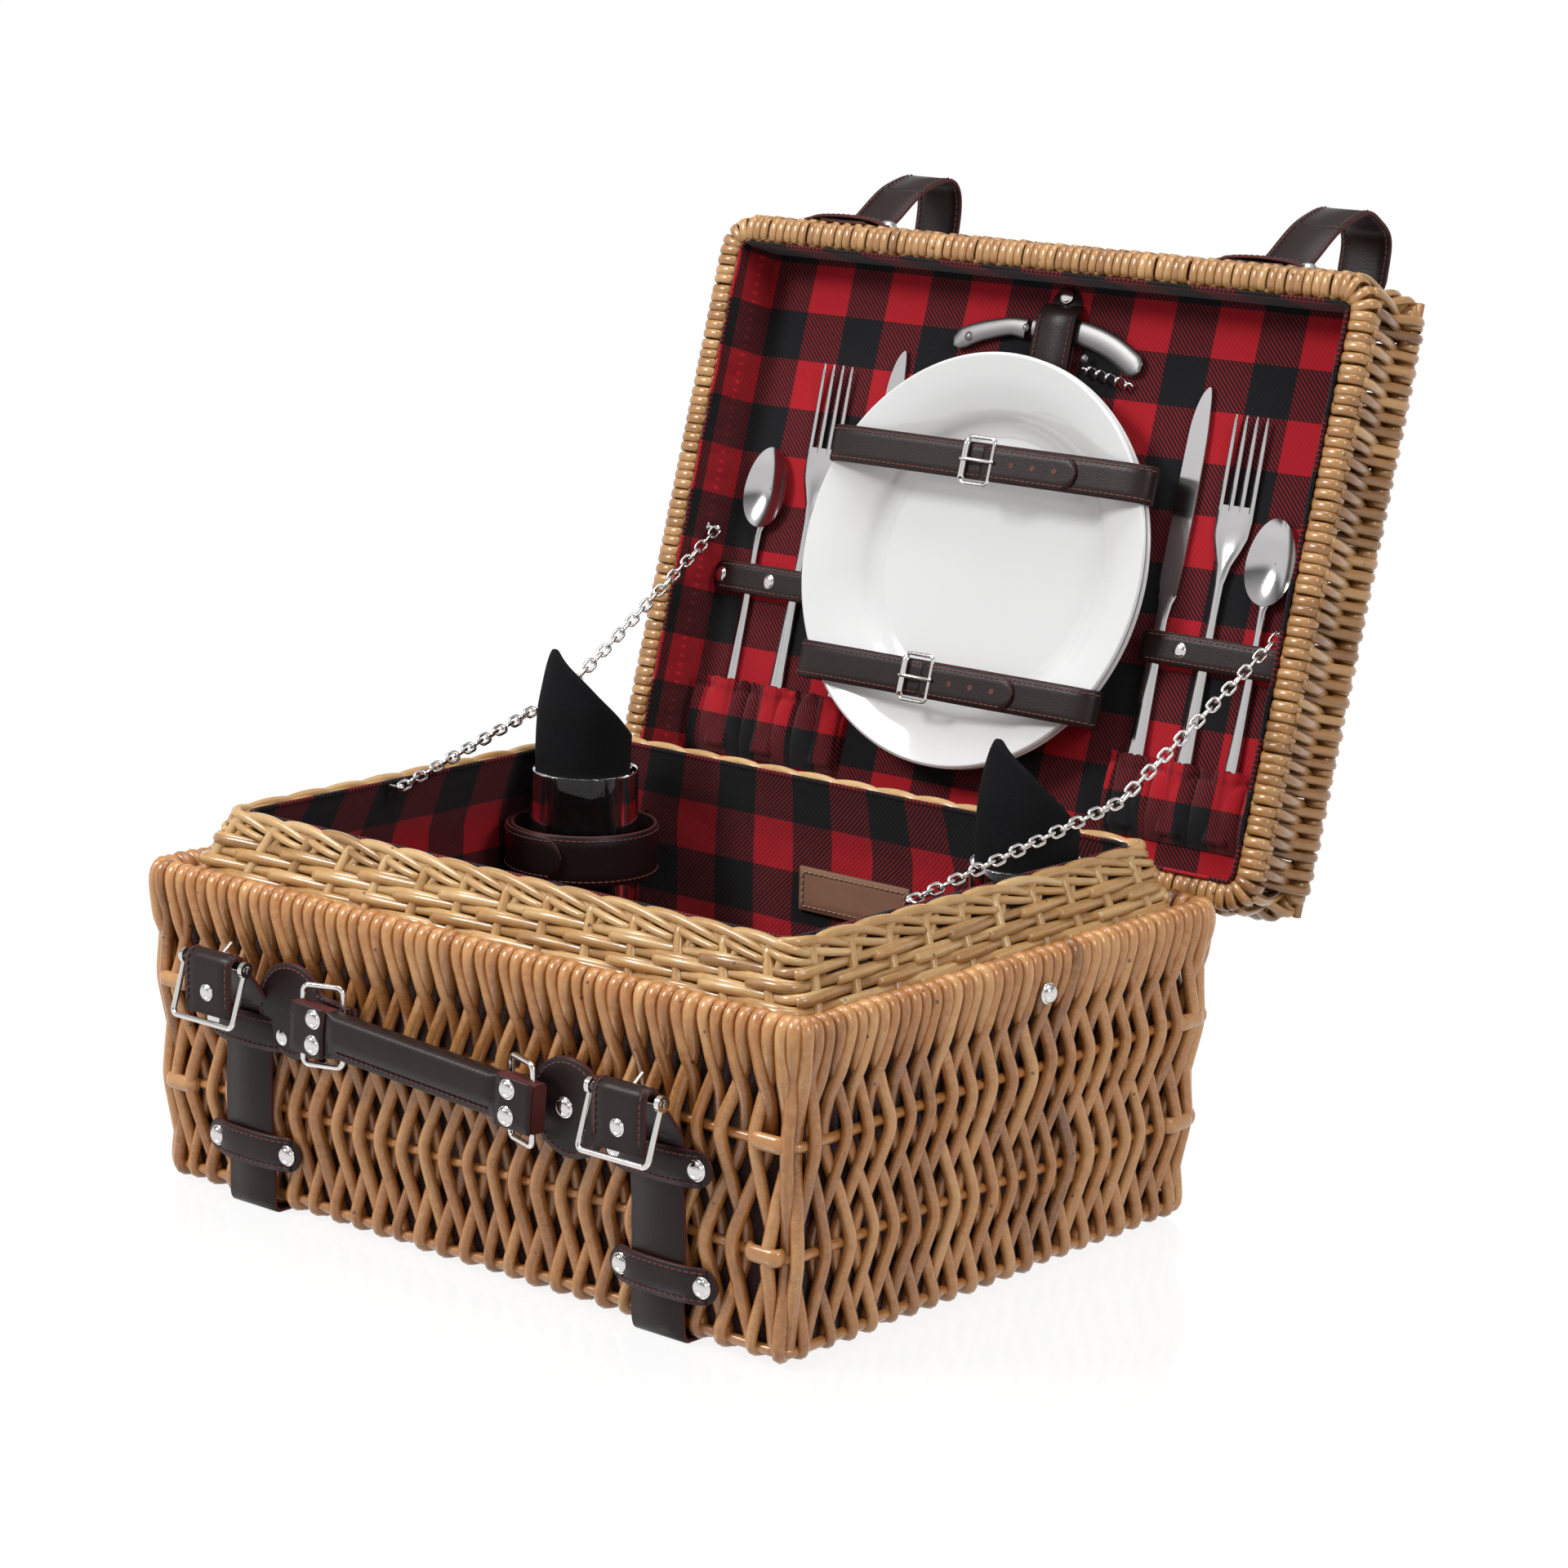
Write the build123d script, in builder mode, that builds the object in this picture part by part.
from build123d import *
import os
from math import atan2, cos, degrees, radians, sin, sqrt

# Wicker picnic basket with its lid standing open, fitted with plates, cutlery and glasses.
# Origin: middle of the underside. X to the right, Y to the back, Z up. Millimetres.
#
# The lid and its contents are drawn closed, then swung open. Lid coordinates are
#   u  along X,
#   a  forward from the lid's rear face,
#   w  up from the lid's rim plane.

os.makedirs("parts", exist_ok=True)

# ---- driving dimensions ----
TOP_W, TOP_D = 430.0, 324.0      # base rim, outside
BOT_W, BOT_D = 412.0, 313.0      # base underside, outside
RIM_Z = 164.0                    # top of the wrapped base rim
RIM_H, RIM_T = 12.4, 14.0        # base rim height, width of both rims
WALL_T = 10.0                    # willow wall of the base
COLLAR_Z = 190.0                 # top of the inset collar
LID_W, LID_D = 427.0, 323.0      # lid outside
LID_Z = 165.0                    # lid rim plane when closed
LID_H = 57.0                     # lid height
LID_BACK = 162.0                 # Y of the lid's rear face when closed
PIVOT_Y, PIVOT_Z = 166.6, 149.4  # lid pivot, behind the base rim
OPEN_DEG = 105.7                 # how far the lid stands open
FABRIC_T = 1.2                   # lining thickness
LEATHER = 2.4                    # thickness of the front straps
STRAP_W = 32.0
SEAM = 0.2                       # gap that separates butting bars and walls
OVERCUT = 0.01                   # how far a cavity runs past an open face

LID_OPEN = Pos(0, PIVOT_Y, PIVOT_Z) * Rot(-OPEN_DEG, 0, 0) * Pos(0, -PIVOT_Y, -PIVOT_Z)
FORWARD = (0, -1, 0)
LEFT_RIGHT = (-1, 1)


# ================= shared helpers =================

def span(centre, half):
    """Limits half a width either side of a centre."""
    return centre - half, centre + half


def wall_y(z):
    """Y of the front wall's outer face at height z."""
    return -(BOT_D / 2 + (TOP_D - BOT_D) / 2 * z / RIM_Z)


def lid_y(a):
    """Closed-lid Y of lid coordinate a."""
    return LID_BACK - a


def lid_z(w):
    """Closed-lid Z of lid coordinate w."""
    return LID_Z + w


def block(x, y, z):
    """Plain block from its (low, high) limits on each axis."""
    (x0, x1), (y0, y1), (z0, z1) = x, y, z
    with BuildPart(Plane(((x0 + x1) / 2, (y0 + y1) / 2, (z0 + z1) / 2))) as body:
        Box(x1 - x0, y1 - y0, z1 - z0)
    return body.part


def lid_block(u, a, w):
    """Plain block from its limits in lid coordinates, lid closed."""
    return block(u, (lid_y(a[1]), lid_y(a[0])), (lid_z(w[0]), lid_z(w[1])))


def ruled_loft(stations, corner=0):
    """Solid through rectangles (half width, front y, back y, z), centred on x = 0."""
    with BuildPart() as body:
        for half_w, front, back, z in stations:
            with BuildSketch(Plane((0, (front + back) / 2, z))):
                if corner:
                    RectangleRounded(2 * half_w, back - front, corner)
                else:
                    Rectangle(2 * half_w, back - front)
        loft(ruled=True)
    return body.part


def inset(stations, wall, lifts):
    """Loft stations drawn in by wall, each raised by its own lift."""
    return [
        (half_w - wall, front + wall, back - wall, z + lift)
        for (half_w, front, back, z), lift in zip(stations, lifts)
    ]


def joined(*pieces):
    """One part from several pieces."""
    with BuildPart() as body:
        for piece in pieces:
            add(piece)
    return body.part


def hollowed(outer, *cuts):
    """The outer solid less each cut in turn."""
    with BuildPart() as body:
        add(outer)
        for cut in cuts:
            add(cut, mode=Mode.SUBTRACT)
    return body.part


def opened(*pieces):
    """One part from pieces drawn with the lid closed, swung to the open pose."""
    return joined(*(piece.moved(LID_OPEN) for piece in pieces))


def rod(centre, direction, radius, length):
    """Cylinder about its middle point."""
    with BuildPart(Plane(origin=centre, z_dir=direction)) as body:
        Cylinder(radius, length)
    return body.part


def tube(centre, radius, bore, length):
    """Tube along X about its middle point; bore is a radius."""
    with BuildPart(Plane(origin=centre, z_dir=(1, 0, 0))) as body:
        Cylinder(radius, length)
        Cylinder(bore, length + 2, mode=Mode.SUBTRACT)
    return body.part


def rivet(x, y, z, radius, direction):
    """Half-ball rivet head bulging along direction."""
    with BuildPart(Plane(origin=(x, y, z), z_dir=direction)) as body:
        Sphere(radius)
        with Locations((0, 0, -radius)):
            Box(2.2 * radius, 2.2 * radius, 2 * radius, mode=Mode.SUBTRACT)
    return body.part


def turned(origin, profile):
    """Solid turned about the vertical through origin from (radius, height) points."""
    with BuildPart() as body:
        with BuildSketch(Plane(origin=origin, x_dir=(1, 0, 0), z_dir=FORWARD)):
            with BuildLine():
                Polyline(*profile)
            make_face()
        revolve(axis=Axis(origin, (0, 0, 1)))
    return body.part


STUD_R, STUD_PIN_R = 2.2, 0.9


def stud(x, y, z, side, length):
    """Small ball on a thin pin that leaves it along X towards side (-1 or 1)."""
    neck = sqrt(STUD_R**2 - STUD_PIN_R**2)
    with BuildPart() as body:
        with BuildSketch(Plane(origin=(x, y, z), x_dir=(side, 0, 0), z_dir=FORWARD)):
            with BuildLine():
                ThreePointArc((-STUD_R, 0), (0, STUD_R), (neck, STUD_PIN_R))
                Polyline((neck, STUD_PIN_R), (length, STUD_PIN_R), (length, 0), (-STUD_R, 0))
            make_face()
        revolve(axis=Axis((x, y, z), (1, 0, 0)))
    return body.part


def wire_loop(origin, x_dir, z_dir, length, width, wire, corner):
    """Closed rounded loop of wire, square to z_dir: outside length along x_dir, width across."""
    half_x, half_y = length / 2 - wire / 2, width / 2 - wire / 2
    flat_x, flat_y = half_x - corner, half_y - corner  # ends of the straight runs
    corner_inset = corner * (1 - sqrt(0.5))
    mid_x, mid_y = half_x - corner_inset, half_y - corner_inset  # middles of the corners
    with BuildPart() as body:
        with BuildLine(Plane(origin=origin, x_dir=x_dir, z_dir=z_dir)) as path:
            Line((-flat_x, -half_y), (flat_x, -half_y))
            ThreePointArc((flat_x, -half_y), (mid_x, -mid_y), (half_x, -flat_y))
            # a loop with round ends has next to no straight run here
            if flat_y > 0.01:
                Line((half_x, -flat_y), (half_x, flat_y))
            ThreePointArc((half_x, flat_y), (mid_x, mid_y), (flat_x, half_y))
            Line((flat_x, half_y), (-flat_x, half_y))
            ThreePointArc((-flat_x, half_y), (-mid_x, mid_y), (-half_x, flat_y))
            if flat_y > 0.01:
                Line((-half_x, flat_y), (-half_x, -flat_y))
            ThreePointArc((-half_x, -flat_y), (-mid_x, -mid_y), (-flat_x, -half_y))
        centre_line = path.wires()[0]
        with BuildSketch(Plane(origin=centre_line @ 0, z_dir=centre_line % 0)):
            Circle(wire / 2)
        sweep(path=centre_line)
    return body.part


# ================= base shell =================
# Loft stations: half width, front y, back y, z

WALL_STATIONS = (
    (BOT_W / 2, -BOT_D / 2, BOT_D / 2, 0),
    (214.2, -161.5, 161.5, 151),
)
WALL_CORNER = 12
COLLAR_TOP_X, COLLAR_FRONT, COLLAR_BACK = 183, 132.5, 141  # outside distances at the top
COLLAR_OUTER = (
    (200.5, -147.5, 147.5, 153),
    (COLLAR_TOP_X, -COLLAR_FRONT, COLLAR_BACK, COLLAR_Z),
)
COLLAR_INNER = (
    (193, -141.2, 142.4, 153 - OVERCUT),
    (177.8, -127.9, 136.4, COLLAR_Z + OVERCUT),
)
MITRE_SHIFT_X, MITRE_SHIFT_Y = 6, 2.5  # mitre centre beyond the collar's top corner
LINING_STATIONS = (
    (194, -144, 144, 10.2),
    (191.8, -139.6, 141, 152),
    (176.8, -126.8, 135.4, 189.5),
)


def floor_panel():
    """Floor between the walls."""
    return block(x=span(0, 195.4), y=span(0, 146.0), z=(0, 9.5))


def base_walls():
    """Four sloping walls, one solid a side."""
    slits = [
        block(x=span(x, 40), y=span(y, SEAM / 2), z=(-5, 160))
        for x in (-214, 214)
        for y in (-146.2, 146.2)
    ]
    return hollowed(
        ruled_loft(WALL_STATIONS, WALL_CORNER),
        ruled_loft(inset(WALL_STATIONS, WALL_T, (-OVERCUT, OVERCUT))),
        *slits,
    )


def base_rim():
    """Wrapped rim in four bars."""
    seam_y = TOP_D / 2 - RIM_T - SEAM / 2
    with BuildPart() as rim:
        with BuildSketch(Plane.XY.offset(RIM_Z - RIM_H)):
            RectangleRounded(TOP_W, TOP_D, 14)
            Rectangle(TOP_W - 2 * RIM_T, TOP_D - 2 * RIM_T, mode=Mode.SUBTRACT)
        extrude(amount=RIM_H)
        fillet(rim.edges().group_by(Axis.Z)[-1], radius=4)
        with Locations((0, -seam_y, RIM_Z), (0, seam_y, RIM_Z)):
            Box(TOP_W + 10, SEAM, 60, mode=Mode.SUBTRACT)
    return rim.part


def base_collar():
    """Inset collar: four sloping sides with a mitre gap through each corner."""
    mitre = block(x=span(0, 60), y=span(0, 0.12), z=(140, 200))
    mitres = [
        mitre.moved(
            Pos(side * (COLLAR_TOP_X + MITRE_SHIFT_X), end * (depth + MITRE_SHIFT_Y), 0)
            * Rot(0, 0, side * end * 45)
        )
        for end, depth in ((-1, COLLAR_FRONT), (1, COLLAR_BACK))
        for side in (1, -1)
    ]
    return hollowed(ruled_loft(COLLAR_OUTER), ruled_loft(COLLAR_INNER), *mitres)


def base_lining():
    """Fabric lining with a bottom, open at the top."""
    cavity = inset(LINING_STATIONS, FABRIC_T, (FABRIC_T, 0, OVERCUT))
    return hollowed(ruled_loft(LINING_STATIONS), ruled_loft(cavity))


# ================= front straps and buckles =================

STRAP_X = (-135.0, 132.0)
STRAPS = ((STRAP_X[0], 129.0), (STRAP_X[1], 119.5))  # x, height of the buckle bar
BAR_Y = -183.0
FOLD_R = 4.4         # centre-line radius of the strap's fold round the bar
FOLD_DROP = 24       # how far below the bar the strap's straight ends lie
STRAP_FOOT_Z = 2
STRAP_OFF_WALL = 1.6  # strap centre line in front of the wall

KEEPERS = ((-133.0, 93.0), (131.5, 85.0), (-133.5, 32.5), (134.5, 30.5))  # x, z
KEEPER_HALF = 29      # half length of a keeper
KEEPER_FOOT = 19.5    # inner end of each foot from the keeper's middle
KEEPER_RIVET = 24.3   # rivet from the keeper's middle

FRAME_DIR = Vector(0, -8.6, -27.0).normalized()  # from the bar down the buckle frame
FRAME_L = 29.0
FRAME_HALF = 20.9     # half width between the frame's side wires
FRAME_START = 3.4     # where the side wires leave their eyes
FRAME_CORNER = 3      # corner radius
FRAME_CORNER_MID = 0.88  # inset of the corner's middle point
FRAME_WIRE_R = 1.45

PRONG_DIR = Vector(0, 0.80, 0.60).normalized()


def front_strap(x, bar_z):
    """Strap up the wall, out to the bar, folded over it and down in front, slotted at the fold."""
    low_z = bar_z - FOLD_DROP
    with BuildPart() as body:
        with BuildSketch(Plane(origin=(x - STRAP_W / 2, 0, 0), x_dir=(0, 1, 0), z_dir=(1, 0, 0))):
            with BuildLine():
                Polyline(
                    (wall_y(STRAP_FOOT_Z) - STRAP_OFF_WALL, STRAP_FOOT_Z),
                    (wall_y(low_z) - STRAP_OFF_WALL, low_z),
                    (BAR_Y + FOLD_R, bar_z),
                )
                ThreePointArc(
                    (BAR_Y + FOLD_R, bar_z), (BAR_Y, bar_z + FOLD_R), (BAR_Y - FOLD_R, bar_z)
                )
                Line((BAR_Y - FOLD_R, bar_z), (BAR_Y - FOLD_R - 0.6, low_z))
            trace(line_width=LEATHER)
        extrude(amount=STRAP_W)
        with Locations((x, BAR_Y, bar_z + 5)):
            Box(6.4, 14, 10, mode=Mode.SUBTRACT)
    return body.part


def strap_keeper(x, z):
    """Leather band bridging a strap, its two feet on the wall."""
    wall = wall_y(z)
    height = span(z, 8.5)
    foot_y = (wall - 4.0, wall - 0.9)
    return joined(
        block(x=span(x, KEEPER_HALF), y=(wall - 6.0, wall - 3.6), z=height),
        block(x=(x - KEEPER_HALF, x - KEEPER_FOOT), y=foot_y, z=height),
        block(x=(x + KEEPER_FOOT, x + KEEPER_HALF), y=foot_y, z=height),
    )


def buckle_bar(x, bar_z):
    """Straight bar through a strap's fold."""
    return rod((x, BAR_Y, bar_z), (1, 0, 0), radius=1.25, length=47.0)


def buckle_frame(x, bar_z):
    """U-shaped front frame with an eye round each end of the bar."""

    def at(across, along):
        return Vector(x + across, BAR_Y, bar_z) + FRAME_DIR * along

    half, mid = FRAME_HALF, FRAME_CORNER_MID
    bend = FRAME_L - FRAME_CORNER
    with BuildPart() as body:
        with BuildLine() as path:
            Line(at(-half, FRAME_START), at(-half, bend))
            ThreePointArc(
                at(-half, bend), at(-half + mid, FRAME_L - mid), at(-half + FRAME_CORNER, FRAME_L)
            )
            Line(at(-half + FRAME_CORNER, FRAME_L), at(half - FRAME_CORNER, FRAME_L))
            ThreePointArc(
                at(half - FRAME_CORNER, FRAME_L), at(half - mid, FRAME_L - mid), at(half, bend)
            )
            Line(at(half, bend), at(half, FRAME_START))
        centre_line = path.wires()[0]
        with BuildSketch(Plane(origin=centre_line @ 0, z_dir=centre_line % 0)):
            Circle(FRAME_WIRE_R)
        sweep(path=centre_line)
        for side in LEFT_RIGHT:
            add(tube((x + side * half, BAR_Y, bar_z), radius=3.9, bore=2.0, length=2.6))
    return body.part


def buckle_prong(x, bar_z):
    """Buckle tongue: an eye on the bar and a wire running back and up."""
    bar = Vector(x, BAR_Y, bar_z)
    return joined(
        tube(bar, radius=3.0, bore=1.75, length=3.0),
        rod(bar + PRONG_DIR * 7.6, PRONG_DIR, radius=1.05, length=10.6),
    )


# ================= carrying handle =================

# pad x, pad z, ring x, ring z, rivet x, x and z limits of the notch that clears the strap keeper
PADS = (
    (-101.0, 107.5, -62.0, 107.5, -96.0, (-130, -103.4), (80, 102.4)),
    (80.0, 98.0, 48.0, 98.5, 78.0, (101.9, 130), (70, 94.2)),
)
PAD_R, PAD_T = 24, 2.2
PAD_LIMIT_X = (-117.2, 114.8)  # the round pads are cut off beyond this
LUG_RISE = 15.2                # lugs above and below the ring's middle
RING_Y = -168.4                # rear side of the rings, in the lugs
RING_WIRE = 3.0
RING_LEAN = 20.0               # outward run in x from a ring's rear side to its front side

GRIP_Y = -175.2
GRIP_LEFT, GRIP_RIGHT = (-86.0, 107.5), (72.0, 98.0)  # x, z of the grip's ends
GRIP_L = GRIP_RIGHT[0] - GRIP_LEFT[0]
GRIP_T, GRIP_H = 9, 24
GRIP_MID = ((GRIP_LEFT[0] + GRIP_RIGHT[0]) / 2, GRIP_Y, (GRIP_LEFT[1] + GRIP_RIGHT[1]) / 2)
GRIP_ANG = degrees(atan2(GRIP_LEFT[1] - GRIP_RIGHT[1], GRIP_L))
TUNNEL_X = 73.4                # ring tunnels from the grip's middle
GRIP_RIVET_Y = -179.9


def pad_lug(x, z, wall):
    """Lug on a pad, bored for a handle ring's rear side."""
    with BuildPart() as body:
        add(block(x=span(x, 3.4), y=(-171.6, wall - 3.4), z=span(z, 1.6)))
        with Locations((x, RING_Y, z)):
            Cylinder(1.9, 10, mode=Mode.SUBTRACT)
    return body.part


def handle_pads():
    """Round pads, each with a bar reaching inwards to two ring lugs."""
    with BuildPart() as body:
        for x, z, ring_x, ring_z, _, notch_x, notch_z in PADS:
            wall = wall_y(z)
            disc = rod((x, wall - 3.9, z), FORWARD, PAD_R, PAD_T)
            add(disc & block(x=PAD_LIMIT_X, y=(-200, -100), z=(0, 200)))
            bar_x = (min(x, ring_x) - 2, max(x, ring_x) + 2)
            add(block(x=bar_x, y=(wall - 5.0, wall - 2.8), z=span(z, 20)))
            add(block(x=notch_x, y=(-190, -150), z=notch_z), mode=Mode.SUBTRACT)
            for rise in (-LUG_RISE, LUG_RISE):
                add(pad_lug(ring_x, ring_z + rise, wall))
    return body.part


def handle_grip():
    """Padded grip with a tunnel near each end for the rings."""
    with BuildPart(Plane(GRIP_MID).rotated((0, GRIP_ANG, 0))) as grip:
        Box(GRIP_L, GRIP_T, GRIP_H)
        long_edges = grip.edges().filter_by(Axis.Z, reverse=True).group_by(SortBy.LENGTH)[-1]
        fillet(long_edges, radius=3.2)
        with Locations((-TUNNEL_X, 0, 0), (TUNNEL_X, 0, 0)):
            Box(8.2, 5.2, 30, mode=Mode.SUBTRACT)
    return grip.part


def handle_rivets():
    """Two rivets near each end of the grip's front face."""
    tilt_cos, tilt_sin = cos(radians(GRIP_ANG)), sin(radians(GRIP_ANG))
    heads = []
    for along in (-63.5, 63.5):
        for across in (-6.4, 6.4):
            x = GRIP_MID[0] + along * tilt_cos + across * tilt_sin
            z = GRIP_MID[2] - along * tilt_sin + across * tilt_cos
            heads.append(rivet(x, GRIP_RIVET_Y, z, 4.2, FORWARD))
    return joined(*heads)


def handle_ring(pad, side):
    """Oblong wire ring: rear side in the pad lugs, front side in the grip's tunnel."""
    ring_x, ring_z = pad[2:4]
    front = Vector(ring_x + side * RING_LEAN, GRIP_Y, ring_z)
    rear = Vector(ring_x, RING_Y, ring_z)
    across = front - rear
    return wire_loop(
        origin=(front + rear) / 2,
        x_dir=(0, 0, 1),
        z_dir=across.normalized().cross(Vector(0, 0, 1)),
        length=42.0,
        width=across.length + RING_WIRE,
        wire=RING_WIRE,
        corner=3.5,
    )


# ================= base rivets and studs =================

CHAIN_FOOT = (166.0, -28.0, 186.0)  # right-hand stud inside the collar


def base_rivets():
    """Rivets of the keepers, pads and front straps, and one on each side wall."""
    heads = [
        rivet(x + offset, wall_y(z) - 6.2, z, 4.4, FORWARD)
        for x, z in KEEPERS
        for offset in (-KEEPER_RIVET, KEEPER_RIVET)
    ]
    for pad in PADS:
        pad_z, rivet_x = pad[1], pad[4]
        heads.append(rivet(rivet_x, wall_y(pad_z) - 5.3, pad_z, 4.2, FORWARD))
    for x, bar_z in STRAPS:
        heads.append(rivet(x, BAR_Y - FOLD_R - 2.2, bar_z - 14, 3.4, FORWARD))
    for side in LEFT_RIGHT:
        heads.append(rivet(side * 214.3, 17, 143, 4.0, (side, 0, 0)))
    return joined(*heads)


def chain_studs_base():
    """Studs inside the collar for the lower end of each lid chain."""
    x, y, z = CHAIN_FOOT
    return joined(*(stud(side * x, y, z, side, 10.2) for side in LEFT_RIGHT))


# ================= fittings inside the base =================

GLASS_X, GLASS_Y = 146.3, 89.0  # glass axes, mirrored in x
LOOP_Z = 140                    # middle height of the glass loops
LOOP_R, LOOP_BORE_R = 39.4, 36.8

# radius, height
GLASS_PROFILE = (
    (0, 12.0), (27, 12.0), (27, 13.6), (4.5, 17), (3.8, 40), (6, 58), (17, 70), (25, 88),
    (28.8, 115), (28.5, 182), (27.1, 182), (27.3, 115), (23.5, 89.5), (15.6, 72.5), (4, 63),
    (0, 62.5), (0, 12.0),
)
NAPKIN_PROFILE = (
    (0, 76), (10, 76), (20, 92), (25.5, 118), (25.8, 181), (23.5, 205), (6, 242), (0, 242),
    (0, 76),
)


def label_patch():
    """Plain leather patch on the rear lining."""
    with BuildPart() as patch:
        add(block(x=(-37, 36), y=(136.9, 138.7), z=(117, 141)))
        fillet(patch.edges().filter_by(Axis.Y), radius=3)
    return patch.part


def glass_loops():
    """Leather loops round the glasses, each with a tab reaching the rear lining."""
    with BuildPart() as body:
        for side in LEFT_RIGHT:
            with Locations((side * GLASS_X, GLASS_Y, LOOP_Z)):
                Cylinder(LOOP_R, 27)
        for side in LEFT_RIGHT:
            with Locations((side * GLASS_X, GLASS_Y, LOOP_Z)):
                Cylinder(LOOP_BORE_R, 40, mode=Mode.SUBTRACT)
        for side in LEFT_RIGHT:
            tab_x = span(side * GLASS_X, 12)
            add(block(x=tab_x, y=(GLASS_Y + 38.2, 138.6), z=span(LOOP_Z, 12)))
    return body.part


def wine_glass(x):
    """Short-stemmed glass."""
    return turned((x, GLASS_Y, 0), GLASS_PROFILE)


def napkin(x):
    """Rolled napkin standing in a glass."""
    return turned((x, GLASS_Y, 0), NAPKIN_PROFILE)


# ================= hinges =================

HINGE_X = (-125.0, 125.0)
HINGE_HALF = 16       # reach of a tab either side of the hinge's middle
HINGE_GAP = 0.4       # tab from the hinge's middle
TAB_Y = (162.4, 164.6)
KNUCKLE_R, KNUCKLE_BORE_R = 3.6, 1.8


def knuckle(x0, x1):
    """Tube of leather round the hinge pin."""
    centre = ((x0 + x1) / 2, PIVOT_Y, PIVOT_Z)
    return tube(centre, KNUCKLE_R, KNUCKLE_BORE_R, x1 - x0)


def base_hinge_tabs():
    """Tabs on the back wall, left of each hinge's middle."""
    with BuildPart() as body:
        for x in HINGE_X:
            limits = (x - HINGE_HALF, x - HINGE_GAP)
            add(block(x=limits, y=TAB_Y, z=(96, 148)))
            add(knuckle(*limits))
            # slice through the middle height of the knuckle
            slab = block(x=(x - 18, x + 2), y=(160.5, 172), z=span(PIVOT_Z, 1.79))
            add(slab & knuckle(*limits))
    return body.part


def hinge_pins():
    return joined(*(rod((x, PIVOT_Y, PIVOT_Z), (1, 0, 0), 1.5, 36) for x in HINGE_X))


def lid_hinge_tabs():
    """Tabs on the lid, right of each hinge's middle."""
    tabs = []
    for x in HINGE_X:
        limits = (x + HINGE_GAP, x + HINGE_HALF)
        tabs.append(joined(block(x=limits, y=TAB_Y, z=(151, 186)), knuckle(*limits)))
    return opened(*tabs)


# ================= lid shell =================

LID_WALL_X = 211             # outer face of the side walls
LID_WALL_A = (2.5, 320.5)    # outer faces of the rear and front walls
LID_WALL_T = 6
LID_WALL_W = (13.5, 49.4)
LID_CORNER = 16
PANEL_UNDER_W = 49.7         # underside of the lid's top panel
BOARD_W = 33.0               # inner face of the lining board
MOUNT_W = BOARD_W - 0.3      # fittings on the board end here


def lid_rim():
    """Lid rim in four bars."""
    with BuildPart() as rim:
        with BuildSketch(Plane((0, lid_y(LID_D / 2), lid_z(0.2)))):
            RectangleRounded(LID_W, LID_D, LID_CORNER)
            Rectangle(LID_W - 2 * RIM_T, LID_D - 2 * RIM_T, mode=Mode.SUBTRACT)
        extrude(amount=13)
        seam_a = RIM_T + SEAM / 2
        with Locations((0, lid_y(seam_a), lid_z(6)), (0, lid_y(LID_D - seam_a), lid_z(6))):
            Box(LID_W + 10, SEAM, 40, mode=Mode.SUBTRACT)
    return opened(rim.part)


def lid_walls():
    """Four upright walls, the side ones between the front and rear ones."""
    rear, front = LID_WALL_A
    full_u = span(0, LID_WALL_X)
    inner_u = LID_WALL_X - LID_WALL_T
    side_a = (rear + LID_WALL_T + SEAM, front - LID_WALL_T - SEAM)
    walls = joined(
        lid_block(u=full_u, a=(front - LID_WALL_T, front), w=LID_WALL_W),
        lid_block(u=full_u, a=(rear, rear + LID_WALL_T), w=LID_WALL_W),
        lid_block(u=(-LID_WALL_X, -inner_u), a=side_a, w=LID_WALL_W),
        lid_block(u=(inner_u, LID_WALL_X), a=side_a, w=LID_WALL_W),
    )
    return opened(walls)


def lid_panel():
    """Top panel of the lid."""
    with BuildPart() as panel:
        with BuildSketch(Plane((0, lid_y(sum(LID_WALL_A) / 2), lid_z(PANEL_UNDER_W)))):
            RectangleRounded(422, 318, LID_CORNER)
        extrude(amount=LID_H - PANEL_UNDER_W)
        fillet(panel.edges().group_by(Axis.Z)[-1], radius=3)
    return opened(panel.part)


def lid_lining():
    """Lining board with its side skirt, open towards the lid's rim plane."""
    half_u, rear, front = 199, 14.4, 308.6
    inner_a = (rear + FABRIC_T, front - FABRIC_T)
    lining = hollowed(
        lid_block(u=span(0, half_u), a=(rear, front), w=(1.5, BOARD_W + 2)),
        lid_block(u=span(0, half_u - FABRIC_T), a=inner_a, w=(0, BOARD_W)),
    )
    return opened(lining)


# ================= cutlery and its holders =================

POCKETS_U = ((-192, -82), (92, 192))
BANDS_U = ((-195, -117), (97, 196))
BAND_A = (118, 133)
HOLDER_W = 26.2     # outer face of pockets and bands, away from the board
CUTLERY_W = 29.2    # face of the cutlery away from the board
KNIFE_U, FORK_U, SPOON_U = (-93.0, 107.5), (-135.0, 138.0), (-168.0, 167.0)  # left, right

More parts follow.
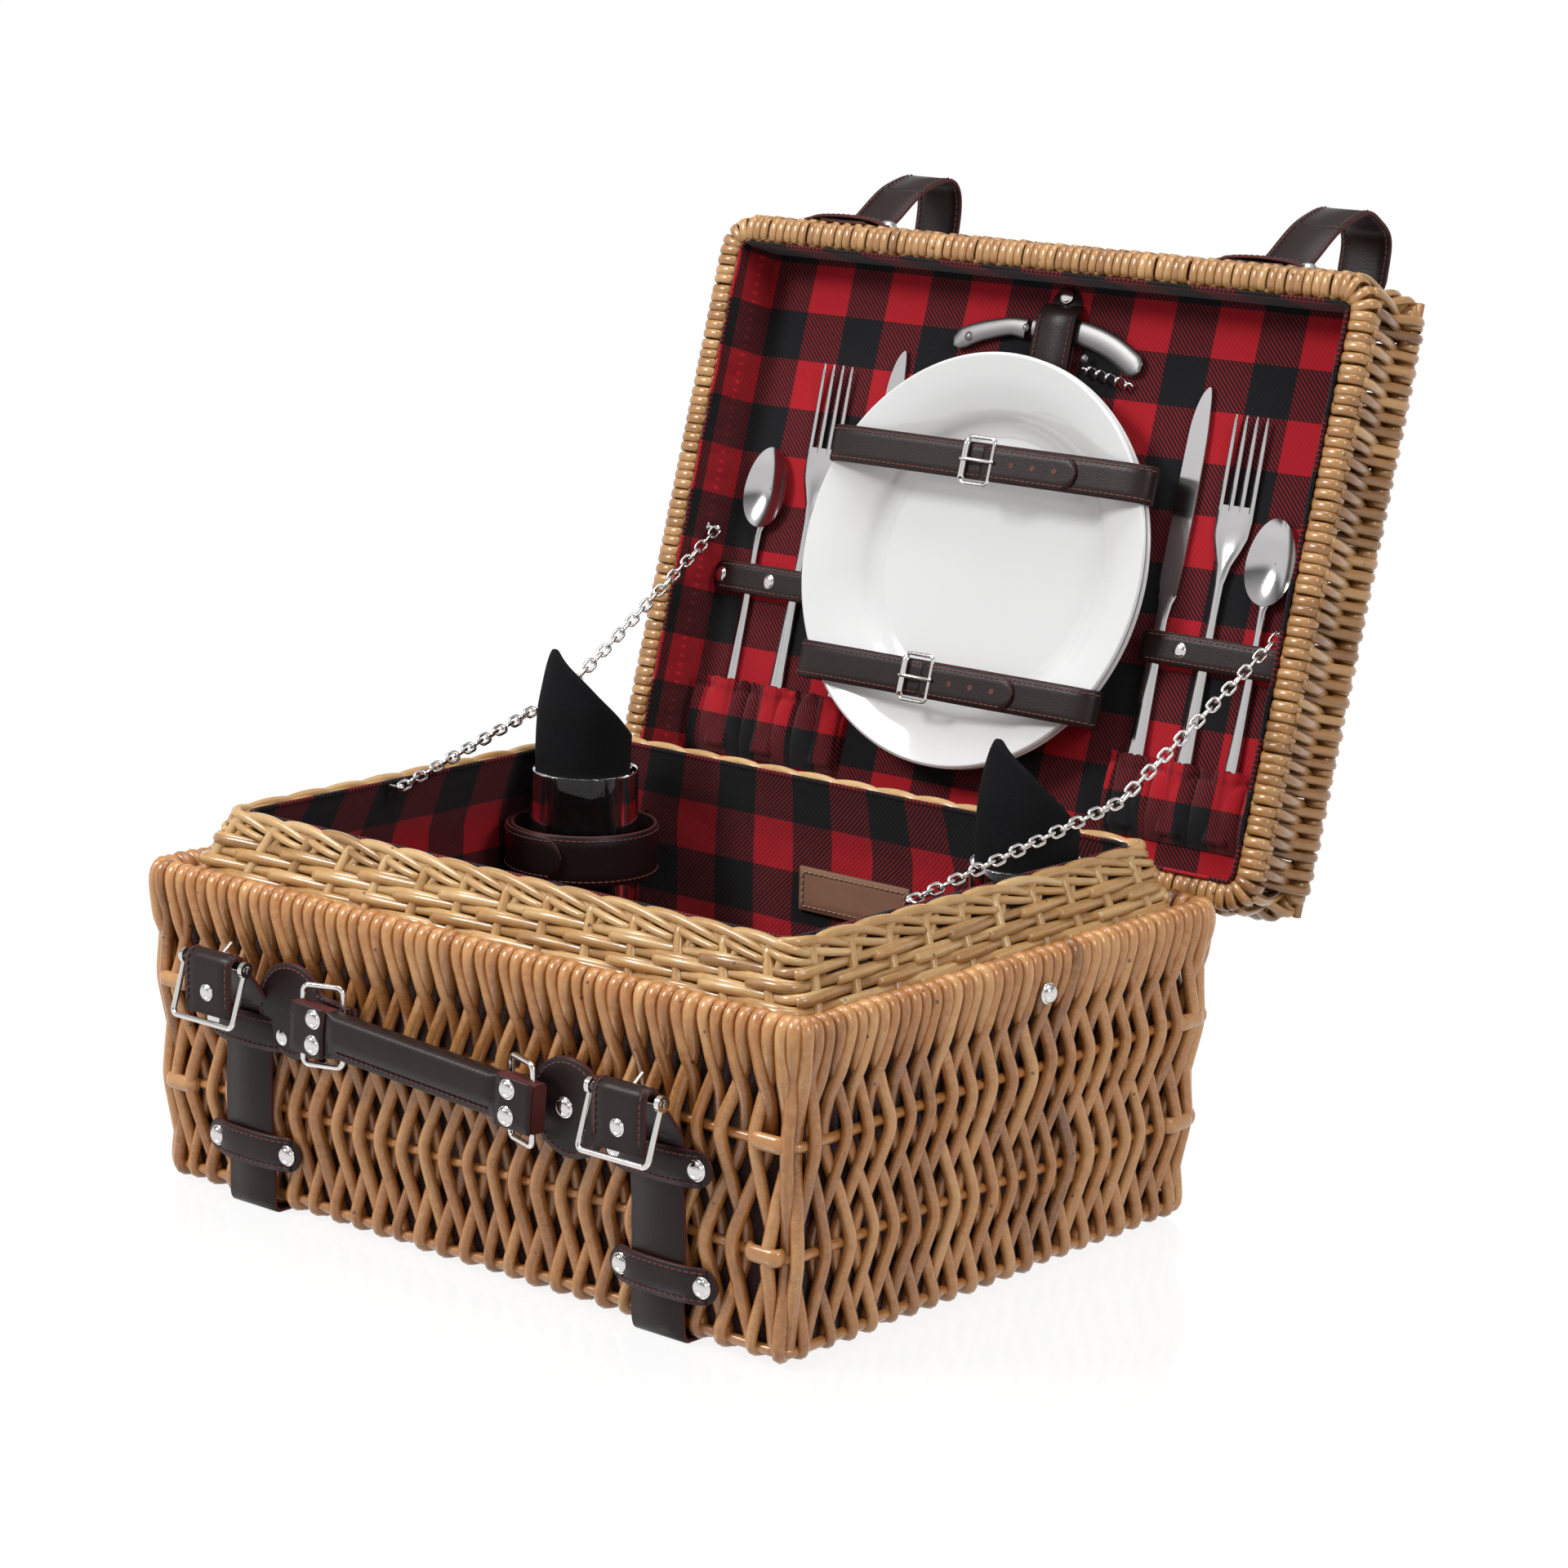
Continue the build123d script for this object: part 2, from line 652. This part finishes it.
# offset from the piece's centre line, minus a
KNIFE_OUTLINE = (
    (-5.5, -36), (5.5, -36), (6.6, -70), (5.4, -140), (5.6, -156), (8.0, -172), (8.0, -236),
    (2.0, -260), (-3.0, -262), (-6.5, -240), (-6.5, -160), (-5.4, -140), (-6.6, -70),
    (-5.5, -36),
)
FORK_OUTLINE = (
    (-5.5, -36), (5.5, -36), (5.0, -70), (3.0, -150), (3.6, -168), (11.5, -184), (12, -200),
    (11.4, -249), (-11.4, -249), (-12, -200), (-11.5, -184), (-3.6, -168), (-3.0, -150),
    (-5.0, -70), (-5.5, -36),
)
SPOON_HANDLE_OUTLINE = (
    (-4.5, -40), (4.5, -40), (4.0, -70), (2.4, -140), (2.4, -158), (-2.4, -158), (-2.4, -140),
    (-4.0, -70), (-4.5, -40),
)
TINE_GAP_X = (-6.2, 0, 6.2)
BOWL_A, BOWL_W = 177, 27.2        # bowl centre, and its face away from the board
DISH_R, DISH_DROP = 50, 46.6      # ball that dishes the bowl; its centre from BOWL_W


def pocket(u0, u1):
    """Sheet, sides and bottom, open towards the lid's front edge."""
    return hollowed(
        lid_block(u=(u0, u1), a=(28, 68), w=(HOLDER_W, MOUNT_W)),
        lid_block(u=(u0 + 1.5, u1 - 1.5), a=(30, 70), w=(27.6, MOUNT_W + 1)),
    )


def cutlery_band(u0, u1):
    """Leather band over the handles, its ends on the board."""
    return joined(
        lid_block(u=(u0, u1), a=BAND_A, w=(HOLDER_W, 28.0)),
        lid_block(u=(u0, u0 + 3), a=BAND_A, w=(HOLDER_W, MOUNT_W)),
        lid_block(u=(u1 - 3, u1), a=BAND_A, w=(HOLDER_W, MOUNT_W)),
    )


def knife(u):
    """Table knife."""
    with BuildPart() as body:
        with BuildSketch(Plane(origin=(u, lid_y(0), lid_z(CUTLERY_W)))):
            with BuildLine():
                Polyline(*KNIFE_OUTLINE)
            make_face()
        extrude(amount=2.6)
    return opened(body.part)


def fork(u):
    """Table fork with four tines."""
    with BuildPart() as body:
        with BuildSketch(Plane(origin=(u, lid_y(0), lid_z(CUTLERY_W)))):
            with BuildLine():
                Polyline(*FORK_OUTLINE)
            make_face()
            with Locations(*((x, -228) for x in TINE_GAP_X)):
                Rectangle(2.6, 50, mode=Mode.SUBTRACT)
        extrude(amount=2.4)
    return opened(body.part)


def spoon(u):
    """Teaspoon with a dished bowl."""
    with BuildPart() as body:
        with BuildSketch(Plane(origin=(u, lid_y(0), lid_z(CUTLERY_W)))):
            with BuildLine():
                Polyline(*SPOON_HANDLE_OUTLINE)
            make_face()
        extrude(amount=2.2)
        with BuildSketch(Plane(origin=(u, lid_y(0), lid_z(BOWL_W)))):
            with Locations((0, -BOWL_A)):
                Ellipse(14.8, 23)
        extrude(amount=5.0)
        with Locations((u, lid_y(BOWL_A), lid_z(BOWL_W) - DISH_DROP)):
            Sphere(DISH_R, mode=Mode.SUBTRACT)
    return opened(body.part)


# ================= plates and their belts =================

PLATE_U, PLATE_A = -6.0, 153.5
PLATE_R, PLATE_H, PLATE_T = 110.5, 22.0, 2.2
PLATE_STACK = 4.6                          # step from one plate to the next
BELTS = ((205, 105.5), (87, 98.5))         # a, half span
BELT_W = 20.0
BELT_BUCKLES = ((-6.5, 205.0), (-18.0, 87.0))  # u, a

# radius, height above the rim; the foot is at the top, towards the board
PLATE_PROFILE = (
    (0, PLATE_H), (70, PLATE_H), (76, PLATE_H - 1.6), (84, 12.5), (96, 7.2), (PLATE_R, 3.0),
    (PLATE_R, 0.8), (95.4, 4.8), (82.6, 10.4), (74.6, PLATE_H - 4.6), (69, PLATE_H - PLATE_T),
    (0, PLATE_H - PLATE_T), (0, PLATE_H),
)


def plate(rim_w):
    """Dinner plate, its foot side towards the board."""
    return opened(turned((PLATE_U, lid_y(PLATE_A), lid_z(rim_w)), PLATE_PROFILE))


def plate_belt(a, half_span):
    """Leather belt across the plates, its ends drawn in to the board."""
    left, right = span(PLATE_U, half_span)
    # the sketch plane's y runs down
    crest, shoulder, end = -lid_z(2.6), -lid_z(15), -lid_z(MOUNT_W - 1.1)
    origin = (0, lid_y(a + BELT_W / 2), 0)
    with BuildPart() as body:
        with BuildSketch(Plane(origin=origin, x_dir=(1, 0, 0), z_dir=(0, 1, 0))):
            with BuildLine():
                Polyline(
                    (left + 2.5, end),
                    (left, shoulder),
                    (left, crest),
                    (right, crest),
                    (right, shoulder),
                    (right - 2.5, end),
                )
            trace(line_width=2.0)
        extrude(amount=BELT_W)
    return body.part


def belt_buckle(u, a):
    """Rectangular wire buckle on a plate belt."""
    return wire_loop(
        (u, lid_y(a), lid_z(0.1)), (1, 0, 0), (0, 0, 1), length=20, width=27, wire=2.2, corner=2.6
    )


# ================= corkscrew =================

CORK_LOOP_U = (-6, 20)
CORK_LOOP_W = 25.3            # outer face of the loop, away from the board
CORK_FLANGE_W = (30.6, MOUNT_W)
WORM_CENTRE = (43.0, 260.0)   # u, a
WORM_DIR = (0.985, 0.171, 0)


def lid_arc(points, width, w0, w1):
    """Curved bar in the lid plane through three (u, a) points."""
    with BuildPart() as body:
        with BuildSketch(Plane(origin=(0, 0, lid_z(w0)))):
            with BuildLine():
                ThreePointArc(*((u, lid_y(a)) for u, a in points))
            trace(line_width=width)
        extrude(amount=w1 - w0)
    return body.part


def corkscrew_loop():
    """Leather loop over the corkscrew with a flange on the board at each end."""
    leg_w = (CORK_LOOP_W, MOUNT_W)
    loop = joined(
        lid_block(u=CORK_LOOP_U, a=(259, 297), w=(CORK_LOOP_W, 26.9)),
        lid_block(u=CORK_LOOP_U, a=(295, 297), w=leg_w),
        lid_block(u=CORK_LOOP_U, a=(259, 261), w=leg_w),
        lid_block(u=CORK_LOOP_U, a=(296, 305), w=CORK_FLANGE_W),
        lid_block(u=CORK_LOOP_U, a=(251, 260), w=CORK_FLANGE_W),
    )
    return opened(loop)


def corkscrew_body():
    """Curved handle with a thin tongue at its left end."""
    handle = lid_arc(((-10, 281.5), (24, 280), (56, 270)), width=11, w0=27.4, w1=32.4)
    tongue = lid_block(u=(-24, -8), a=(276, 286.5), w=(31.2, 32.4))
    return opened(joined(handle, tongue))


def corkscrew_lever():
    """Curved lever to the left of the handle."""
    points = ((-57, 273), (-40, 277.5), (-21, 280.5))
    return opened(lid_arc(points, width=9.5, w0=27.6, w1=30.8))


def corkscrew_worm():
    """Worm, as a plain rod."""
    u, a = WORM_CENTRE
    return opened(rod((u, lid_y(a), lid_z(29.8)), WORM_DIR, radius=2.5, length=34))


# ================= closing straps on the lid's front wall =================

# (a, w) of the root hinge, a bend, the crest hinge, a bend and the tip; left strap, right strap
CURLS = (
    ((329.8, 31.0), (351.0, 51.0), (366.0, 76.0), (352.0, 89.0), (316.0, 91.0)),
    ((329.8, 38.0), (353.0, 60.0), (370.0, 87.0), (362.0, 110.0), (324.0, 114.0)),
)
# x and w of the root hinge of each strap
STRAP_HINGES = tuple((x, curl[0][1]) for x, curl in zip(STRAP_X, CURLS))
KEEPER_DROP = 13.5   # keeper's middle below the root hinge
HINGE_CLEAR = 1.6    # strap centre line starts this far from a hinge line


def strap_root(x, hinge_w):
    """Fixed length of strap on the lid's front wall."""
    return lid_block(u=span(x, STRAP_W / 2), a=(323.5, 325.9), w=(6, hinge_w - 1.7))


def lid_strap_keeper(x, hinge_w):
    """Band across a strap root, its two feet on the lid's front wall."""
    height = span(hinge_w - KEEPER_DROP, 8)
    foot_a = (323.4, 327)
    return joined(
        lid_block(u=span(x, KEEPER_HALF), a=(326.3, 328.5), w=height),
        lid_block(u=(x - KEEPER_HALF, x - KEEPER_FOOT), a=foot_a, w=height),
        lid_block(u=(x + KEEPER_FOOT, x + KEEPER_HALF), a=foot_a, w=height),
    )


def toward(start, target, distance):
    """Point a distance from start towards target."""
    da, dw = target[0] - start[0], target[1] - start[1]
    length = sqrt(da**2 + dw**2)
    return start[0] + da * distance / length, start[1] + dw * distance / length


def strap_length(x, start, bend, end):
    """Hinged length of a closing strap between two (a, w) points, with a bend on the way."""
    points = (toward(start, bend, HINGE_CLEAR), bend, toward(end, bend, HINGE_CLEAR))
    origin = (x - STRAP_W / 2 + 0.5, 0, 0)
    with BuildPart() as body:
        with BuildSketch(Plane(origin=origin, x_dir=(0, 1, 0), z_dir=(1, 0, 0))):
            with BuildLine():
                Polyline(*((lid_y(a), lid_z(w)) for a, w in points))
            trace(line_width=2.2)
        extrude(amount=STRAP_W - 1)
    return opened(body.part)


# ================= lid rivets and chains =================

CHAIN_U, CHAIN_A, CHAIN_W = 191.5, 150.0, 22.0  # right-hand stud on the lid's side lining
CHAIN_TOP = (LID_OPEN * Pos(CHAIN_U, lid_y(CHAIN_A), lid_z(CHAIN_W))).position
CHAIN_MEET = Vector(183.0, 112.0, 214.0)        # where the two lengths of a chain meet
CHAIN_SAG = 2.5
LINK_L, LINK_W, LINK_WIRE = 11.0, 7.4, 1.8
LINK_CORNER = LINK_W / 2 - LINK_WIRE / 2 - 0.004  # all but fully round ends
LINK_PITCH = 6.95                # greatest link spacing
STUD_GAP, MEET_GAP = 3.5, 0.4    # clear lengths at the stud and where the lengths meet


def lid_rivets():
    """Rivets of the lid keepers, cutlery bands and corkscrew loop, and the chain studs."""
    toward_rim = (0, 0, -1)
    heads = [
        rivet(x + offset, lid_y(328.7), lid_z(hinge_w - KEEPER_DROP), 4.0, FORWARD)
        for x, hinge_w in STRAP_HINGES
        for offset in (-KEEPER_RIVET, KEEPER_RIVET)
    ]
    for u in (-187.0, -151.5, 124.5, 188.0):
        heads.append(rivet(u, lid_y(125.5), lid_z(26.0), 3.6, toward_rim))
    for a in (300.8, 255.0):
        heads.append(rivet(7, lid_y(a), lid_z(30.4), 3.4, toward_rim))
    for side in LEFT_RIGHT:
        heads.append(stud(side * CHAIN_U, lid_y(CHAIN_A), lid_z(CHAIN_W), side, 5.0))
    return opened(*heads)


def chain(start, side):
    """Links from a stud to the meeting point along a shallow sag; side mirrors in x."""
    link = wire_loop((0, 0, 0), (0, 0, 1), (1, 0, 0), LINK_L, LINK_W, LINK_WIRE, LINK_CORNER)
    run = CHAIN_MEET - start
    steps = int((run.length - STUD_GAP - LINK_L - MEET_GAP) / LINK_PITCH) + 1
    first = (STUD_GAP + LINK_L / 2) / run.length
    last = 1 - (MEET_GAP + LINK_L / 2) / run.length
    with BuildPart() as body:
        for i in range(steps + 1):
            t = first + (last - first) * i / steps
            point = start + run * t + Vector(0, 0, -4 * CHAIN_SAG * t * (1 - t))
            slope = Vector(0, 0, -4 * CHAIN_SAG * (1 - 2 * t) / run.length)
            along = run.normalized() + slope
            point = Vector(side * point.X, point.Y, point.Z)
            along = Vector(side * along.X, along.Y, along.Z).normalized()
            level = along.cross(Vector(0, 0, 1)).normalized()
            upward = level.cross(along)
            # alternate links are turned a quarter
            turn = radians(45 if i % 2 else -45)
            x_dir = level * cos(turn) + upward * sin(turn)
            add(link.moved(Plane(origin=point, x_dir=x_dir, z_dir=along).location))
    return body.part


# ================= parts and files =================

parts = {
    "floor_panel": floor_panel(),
    "base_walls": base_walls(),
    "base_rim": base_rim(),
    "base_collar": base_collar(),
    "base_lining": base_lining(),
    "front_straps": joined(*(front_strap(*strap) for strap in STRAPS)),
    "strap_keepers": joined(*(strap_keeper(*place) for place in KEEPERS)),
    "handle_pads": handle_pads(),
    "base_rivets": base_rivets(),
    "chain_studs_base": chain_studs_base(),
    "buckle_bars": joined(*(buckle_bar(*strap) for strap in STRAPS)),
    "handle_grip": handle_grip(),
    "handle_rivets": handle_rivets(),
    "label_patch": label_patch(),
    "glass_loops": glass_loops(),
    "base_hinge_tabs": base_hinge_tabs(),
    "hinge_pins": hinge_pins(),
    "lid_rim": lid_rim(),
    "lid_walls": lid_walls(),
    "lid_panel": lid_panel(),
    "lid_lining": lid_lining(),
    "cutlery_pockets": opened(*(pocket(*limits) for limits in POCKETS_U)),
    "cutlery_bands": opened(*(cutlery_band(*limits) for limits in BANDS_U)),
    "plate_belts": opened(*(plate_belt(*belt) for belt in BELTS)),
    "plate_belt_buckles": opened(*(belt_buckle(*place) for place in BELT_BUCKLES)),
    "corkscrew_loop": corkscrew_loop(),
    "corkscrew_body": corkscrew_body(),
    "corkscrew_lever": corkscrew_lever(),
    "corkscrew_worm": corkscrew_worm(),
    "plate_rear": plate(MOUNT_W - PLATE_H),
    "plate_front": plate(MOUNT_W - PLATE_H - PLATE_STACK),
    "lid_strap_roots": opened(*(strap_root(*hinge) for hinge in STRAP_HINGES)),
    "lid_strap_keepers": opened(*(lid_strap_keeper(*hinge) for hinge in STRAP_HINGES)),
    "lid_rivets": lid_rivets(),
    "lid_hinge_tabs": lid_hinge_tabs(),
}

for i, (name, side) in enumerate(zip(("left", "right"), LEFT_RIGHT)):
    root, near_bend, crest, tip_bend, tip = CURLS[i]
    parts |= {
        f"buckle_frame_{name}": buckle_frame(*STRAPS[i]),
        f"buckle_prong_{name}": buckle_prong(*STRAPS[i]),
        f"handle_ring_{name}": handle_ring(PADS[i], side),
        f"wine_glass_{name}": wine_glass(side * GLASS_X),
        f"napkin_{name}": napkin(side * GLASS_X),
        f"knife_{name}": knife(KNIFE_U[i]),
        f"fork_{name}": fork(FORK_U[i]),
        f"spoon_{name}": spoon(SPOON_U[i]),
        f"lid_strap_{name}_near": strap_length(STRAP_X[i], root, near_bend, crest),
        f"lid_strap_{name}_tip": strap_length(STRAP_X[i], crest, tip_bend, tip),
        f"chain_lower_{name}": chain(Vector(*CHAIN_FOOT), side),
        f"chain_upper_{name}": chain(CHAIN_TOP, side),
    }

for name, part in parts.items():
    part.label = name
    export_step(part, f"parts/{name}.step")
